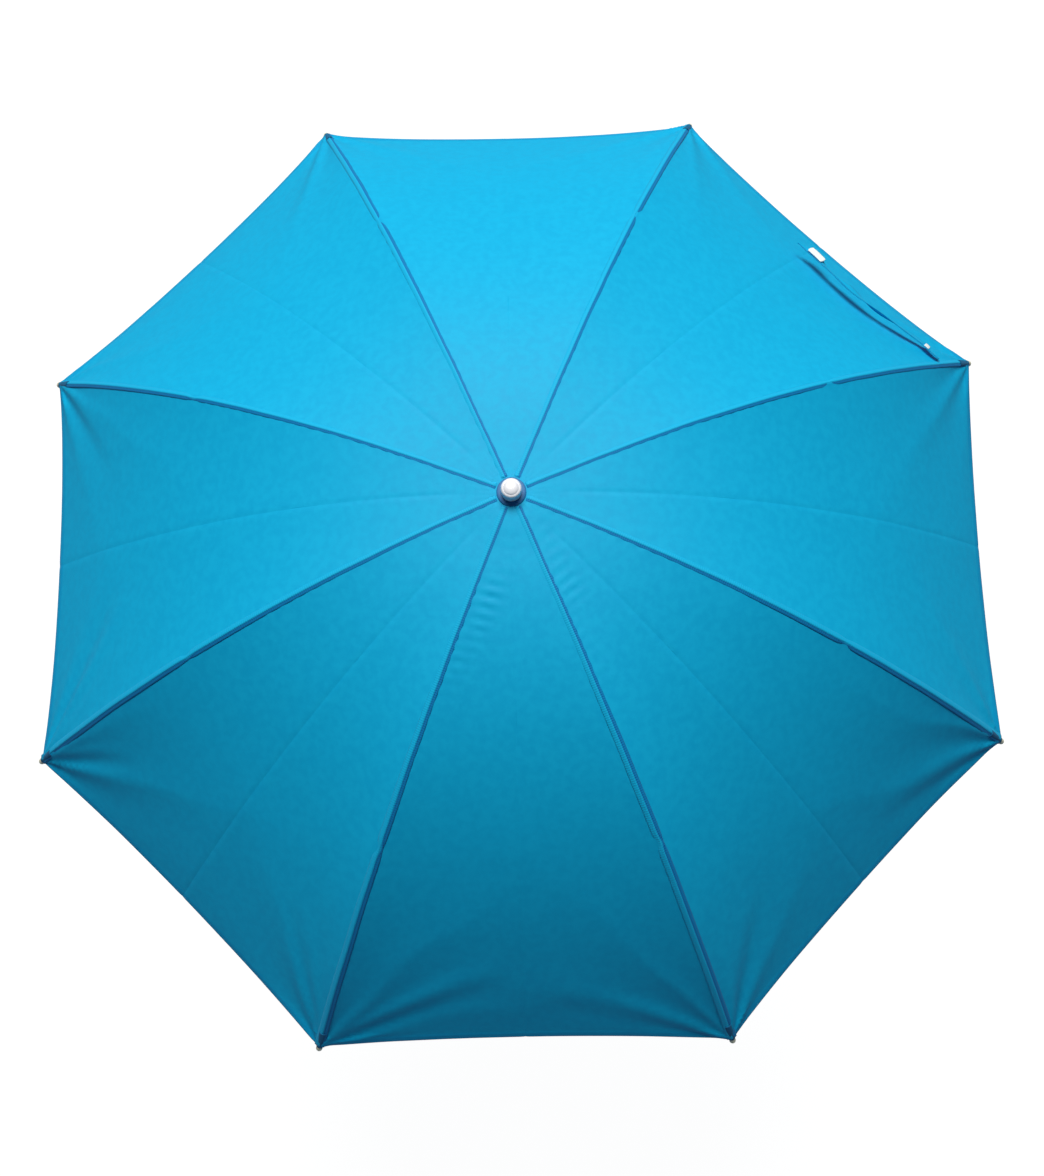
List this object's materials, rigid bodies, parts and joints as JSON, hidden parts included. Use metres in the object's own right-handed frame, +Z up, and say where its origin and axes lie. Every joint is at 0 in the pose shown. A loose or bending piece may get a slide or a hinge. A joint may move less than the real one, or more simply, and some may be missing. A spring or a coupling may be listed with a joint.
{
  "type": "beach umbrella",
  "caption": "Open tilting beach umbrella: blue cloth dome on hinged ribs and stretchers, sliding runner, tilt joint, two-part height-adjusting pole and a sand spike.",
  "frame": {"origin": "point of the sand spike, on the pole's axis", "axes": "+Z up along the pole; the clamp screw, tilt button and runner catch face -Y, and the tilting joint turns about X"},
  "size_m": [1.4798, 1.4798, 1.988],
  "materials": {
    "canopy_cloth": "turquoise-blue plain-weave polyester with a soft sheen",
    "painted_steel": "white powder coat on steel tube and wire",
    "zinc_steel": "bright zinc-plated steel",
    "white_plastic": "moulded white polypropylene",
    "cream_plastic": "moulded cream nylon",
    "blue_plastic": "moulded dark blue ABS",
    "silver_cap": "satin silver plating on a moulded cap",
    "hook_and_loop": "white woven nylon hook-and-loop tape"
  },
  "bodies": {
    "lower_pole": {"lower_pole": "painted_steel", "ground_spike": "white_plastic", "pole_clamp": "white_plastic"},
    "clamp_knob": {"clamp_knob": "blue_plastic"},
    "middle_pole": {"middle_pole": "painted_steel", "tilt_lower_socket": "white_plastic", "tilt_pin": "zinc_steel"},
    "tilt_button": {"tilt_button": "blue_plastic"},
    "upper_pole": {"upper_pole": "painted_steel", "tilt_upper_socket": "white_plastic", "crown": "white_plastic", "crown_wire": "zinc_steel", "canopy_washer": "blue_plastic", "ferrule": "silver_cap"},
    "runner": {"runner": "white_plastic"},
    "runner_catch": {"runner_catch": "zinc_steel"},
    "rib_1": {"rib_1": "painted_steel", "rib_tip_1": "cream_plastic", "rib_bracket_1": "zinc_steel", "canopy_panel_1": "canopy_cloth", "tie_strap": "canopy_cloth", "strap_loop_pad": "hook_and_loop", "strap_hook_pad": "hook_and_loop"},
    "stretcher_1": {"stretcher_1": "painted_steel"},
    "rib_2": {"rib_2": "painted_steel", "rib_tip_2": "cream_plastic", "rib_bracket_2": "zinc_steel", "canopy_panel_2": "canopy_cloth"},
    "stretcher_2": {"stretcher_2": "painted_steel"},
    "rib_3": {"rib_3": "painted_steel", "rib_tip_3": "cream_plastic", "rib_bracket_3": "zinc_steel", "canopy_panel_3": "canopy_cloth"},
    "stretcher_3": {"stretcher_3": "painted_steel"},
    "rib_4": {"rib_4": "painted_steel", "rib_tip_4": "cream_plastic", "rib_bracket_4": "zinc_steel", "canopy_panel_4": "canopy_cloth"},
    "stretcher_4": {"stretcher_4": "painted_steel"},
    "rib_5": {"rib_5": "painted_steel", "rib_tip_5": "cream_plastic", "rib_bracket_5": "zinc_steel", "canopy_panel_5": "canopy_cloth"},
    "stretcher_5": {"stretcher_5": "painted_steel"},
    "rib_6": {"rib_6": "painted_steel", "rib_tip_6": "cream_plastic", "rib_bracket_6": "zinc_steel", "canopy_panel_6": "canopy_cloth"},
    "stretcher_6": {"stretcher_6": "painted_steel"},
    "rib_7": {"rib_7": "painted_steel", "rib_tip_7": "cream_plastic", "rib_bracket_7": "zinc_steel", "canopy_panel_7": "canopy_cloth"},
    "stretcher_7": {"stretcher_7": "painted_steel"},
    "rib_8": {"rib_8": "painted_steel", "rib_tip_8": "cream_plastic", "rib_bracket_8": "zinc_steel", "canopy_panel_8": "canopy_cloth"},
    "stretcher_8": {"stretcher_8": "painted_steel"}
  },
  "joints": [
    {"name": "height_slide", "type": "slide", "parent": "lower_pole", "child": "middle_pole", "axis": [0, 0, 1], "range_m": [-0.18, 0]},
    {"name": "clamp_knob_turn", "type": "hinge", "parent": "lower_pole", "child": "clamp_knob", "pos_m": [0, -0.03, 0.776], "axis": [0, 1, 0], "range_deg": [0, 360]},
    {"name": "tilt_hinge", "type": "hinge", "parent": "middle_pole", "child": "upper_pole", "pos_m": [0, 0, 1.045], "axis": [1, 0, 0], "range_deg": [0, 45]},
    {"name": "tilt_button_press", "type": "slide", "parent": "middle_pole", "child": "tilt_button", "axis": [0, 1, 0], "range_m": [0, 0.003], "stiffness_N_per_m": 800, "springref_m": -0.001},
    {"name": "runner_slide", "type": "slide", "parent": "upper_pole", "child": "runner", "axis": [0, 0, -1], "range_m": [0, 0.4381]},
    {"name": "catch_press", "type": "slide", "parent": "upper_pole", "child": "runner_catch", "axis": [0, 1, 0], "range_m": [0, 0.0034], "stiffness_N_per_m": 800, "springref_m": -0.001},
    {"name": "rib_hinge_1", "type": "hinge", "parent": "upper_pole", "child": "rib_1", "pos_m": [0.01386, 0.00574, 1.955], "axis": [-0.3827, 0.9239, 0], "range_deg": [0, 63.25], "deforming": ["canopy_panel_1", "tie_strap"]},
    {"name": "stretcher_hinge_1", "type": "hinge", "parent": "rib_1", "child": "stretcher_1", "pos_m": [0.31869, 0.13201, 1.88627], "axis": [-0.3827, 0.9239, 0], "range_deg": [-110.21, 0]},
    {"name": "rib_hinge_2", "type": "hinge", "parent": "upper_pole", "child": "rib_2", "pos_m": [0.00574, 0.01386, 1.955], "axis": [-0.9239, 0.3827, 0], "range_deg": [0, 63.25], "deforming": ["canopy_panel_2"]},
    {"name": "stretcher_hinge_2", "type": "hinge", "parent": "rib_2", "child": "stretcher_2", "pos_m": [0.13201, 0.31869, 1.88627], "axis": [-0.9239, 0.3827, 0], "range_deg": [-110.21, 0]},
    {"name": "rib_hinge_3", "type": "hinge", "parent": "upper_pole", "child": "rib_3", "pos_m": [-0.00574, 0.01386, 1.955], "axis": [-0.9239, -0.3827, 0], "range_deg": [0, 63.25], "deforming": ["canopy_panel_3"]},
    {"name": "stretcher_hinge_3", "type": "hinge", "parent": "rib_3", "child": "stretcher_3", "pos_m": [-0.13201, 0.31869, 1.88627], "axis": [-0.9239, -0.3827, 0], "range_deg": [-110.21, 0]},
    {"name": "rib_hinge_4", "type": "hinge", "parent": "upper_pole", "child": "rib_4", "pos_m": [-0.01386, 0.00574, 1.955], "axis": [-0.3827, -0.9239, 0], "range_deg": [0, 63.25], "deforming": ["canopy_panel_4"]},
    {"name": "stretcher_hinge_4", "type": "hinge", "parent": "rib_4", "child": "stretcher_4", "pos_m": [-0.31869, 0.13201, 1.88627], "axis": [-0.3827, -0.9239, 0], "range_deg": [-110.21, 0]},
    {"name": "rib_hinge_5", "type": "hinge", "parent": "upper_pole", "child": "rib_5", "pos_m": [-0.01386, -0.00574, 1.955], "axis": [0.3827, -0.9239, 0], "range_deg": [0, 63.25], "deforming": ["canopy_panel_5"]},
    {"name": "stretcher_hinge_5", "type": "hinge", "parent": "rib_5", "child": "stretcher_5", "pos_m": [-0.31869, -0.13201, 1.88627], "axis": [0.3827, -0.9239, 0], "range_deg": [-110.21, 0]},
    {"name": "rib_hinge_6", "type": "hinge", "parent": "upper_pole", "child": "rib_6", "pos_m": [-0.00574, -0.01386, 1.955], "axis": [0.9239, -0.3827, 0], "range_deg": [0, 63.25], "deforming": ["canopy_panel_6"]},
    {"name": "stretcher_hinge_6", "type": "hinge", "parent": "rib_6", "child": "stretcher_6", "pos_m": [-0.13201, -0.31869, 1.88627], "axis": [0.9239, -0.3827, 0], "range_deg": [-110.21, 0]},
    {"name": "rib_hinge_7", "type": "hinge", "parent": "upper_pole", "child": "rib_7", "pos_m": [0.00574, -0.01386, 1.955], "axis": [0.9239, 0.3827, 0], "range_deg": [0, 63.25], "deforming": ["canopy_panel_7"]},
    {"name": "stretcher_hinge_7", "type": "hinge", "parent": "rib_7", "child": "stretcher_7", "pos_m": [0.13201, -0.31869, 1.88627], "axis": [0.9239, 0.3827, 0], "range_deg": [-110.21, 0]},
    {"name": "rib_hinge_8", "type": "hinge", "parent": "upper_pole", "child": "rib_8", "pos_m": [0.01386, -0.00574, 1.955], "axis": [0.3827, 0.9239, 0], "range_deg": [0, 63.25], "deforming": ["canopy_panel_8"]},
    {"name": "stretcher_hinge_8", "type": "hinge", "parent": "rib_8", "child": "stretcher_8", "pos_m": [0.31869, -0.13201, 1.88627], "axis": [0.3827, 0.9239, 0], "range_deg": [-110.21, 0]}
  ],
  "couplings": [
    {"joint": "rib_hinge_1", "follows": "runner_slide", "rad_per_m": 2.5178},
    {"joint": "stretcher_hinge_1", "follows": "runner_slide", "rad_per_m": -4.3886},
    {"joint": "rib_hinge_2", "follows": "runner_slide", "rad_per_m": 2.5178},
    {"joint": "stretcher_hinge_2", "follows": "runner_slide", "rad_per_m": -4.3886},
    {"joint": "rib_hinge_3", "follows": "runner_slide", "rad_per_m": 2.5178},
    {"joint": "stretcher_hinge_3", "follows": "runner_slide", "rad_per_m": -4.3886},
    {"joint": "rib_hinge_4", "follows": "runner_slide", "rad_per_m": 2.5178},
    {"joint": "stretcher_hinge_4", "follows": "runner_slide", "rad_per_m": -4.3886},
    {"joint": "rib_hinge_5", "follows": "runner_slide", "rad_per_m": 2.5178},
    {"joint": "stretcher_hinge_5", "follows": "runner_slide", "rad_per_m": -4.3886},
    {"joint": "rib_hinge_6", "follows": "runner_slide", "rad_per_m": 2.5178},
    {"joint": "stretcher_hinge_6", "follows": "runner_slide", "rad_per_m": -4.3886},
    {"joint": "rib_hinge_7", "follows": "runner_slide", "rad_per_m": 2.5178},
    {"joint": "stretcher_hinge_7", "follows": "runner_slide", "rad_per_m": -4.3886},
    {"joint": "rib_hinge_8", "follows": "runner_slide", "rad_per_m": 2.5178},
    {"joint": "stretcher_hinge_8", "follows": "runner_slide", "rad_per_m": -4.3886}
  ]
}
